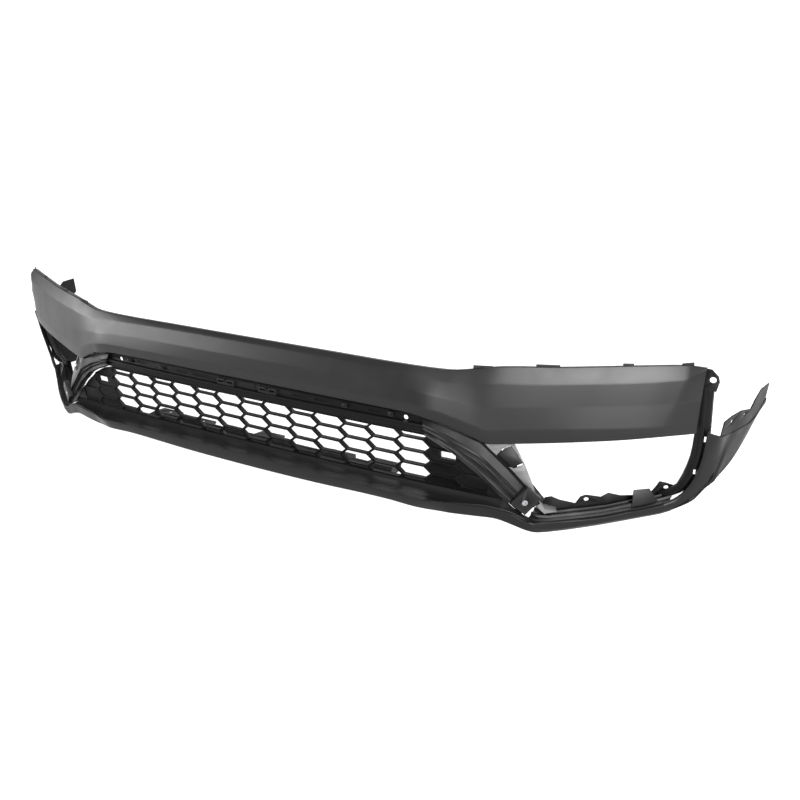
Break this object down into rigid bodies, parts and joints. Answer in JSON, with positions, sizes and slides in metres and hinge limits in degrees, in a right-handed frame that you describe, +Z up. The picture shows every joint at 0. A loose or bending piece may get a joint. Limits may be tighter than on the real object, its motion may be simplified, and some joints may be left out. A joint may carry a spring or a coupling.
{
  "type": "bumper cover",
  "caption": "Front lower bumper cover: satin black fascia band over a honeycomb grille, lower lip with swept wing ends, fog lamp openings and their inner mouldings.",
  "frame": {"origin": "middle of the top face of the mounting shelf behind the centre of the upper fascia", "axes": "+Z up, -Y towards the front of the car, X across the car; the car's centre plane is X = 0"},
  "size_m": [1.834, 0.4142, 0.3108],
  "materials": {
    "fascia_satin": "satin moulded polypropylene, fine grain",
    "valance_satin": "satin moulded polypropylene, fine grain",
    "grille_black": "matt black moulded plastic",
    "channel_black": "semi-matt black moulded plastic",
    "bracket_black": "semi-matt black moulded plastic",
    "panel_grey": "smooth satin black plastic that catches the light as grey",
    "screw_steel": "dark coated steel"
  },
  "bodies": {
    "root": {"arch_bracket_left": "bracket_black", "arch_bracket_right": "bracket_black", "centre_grille": "grille_black", "channel_end_cap_left": "bracket_black", "channel_end_cap_right": "bracket_black", "channel_screw_left": "screw_steel", "channel_screw_right": "screw_steel", "end_upright_left": "bracket_black", "end_upright_right": "bracket_black", "garnish_channel_left": "channel_black", "garnish_channel_right": "channel_black", "grille_top_rail": "bracket_black", "lower_valance": "valance_satin", "opening_floor_left": "bracket_black", "opening_floor_right": "bracket_black", "opening_gusset_left": "bracket_black", "opening_gusset_right": "bracket_black", "opening_side_panel_left": "panel_grey", "opening_side_panel_right": "panel_grey", "panel_blank_left": "bracket_black", "panel_blank_right": "bracket_black", "rail_clip_tower_left": "bracket_black", "rail_clip_tower_right": "bracket_black", "rail_hook_1_left": "bracket_black", "rail_hook_1_right": "bracket_black", "rail_hook_2_left": "bracket_black", "rail_hook_2_right": "bracket_black", "undertray_flange": "bracket_black", "upper_fascia": "fascia_satin"}
  },
  "joints": []
}
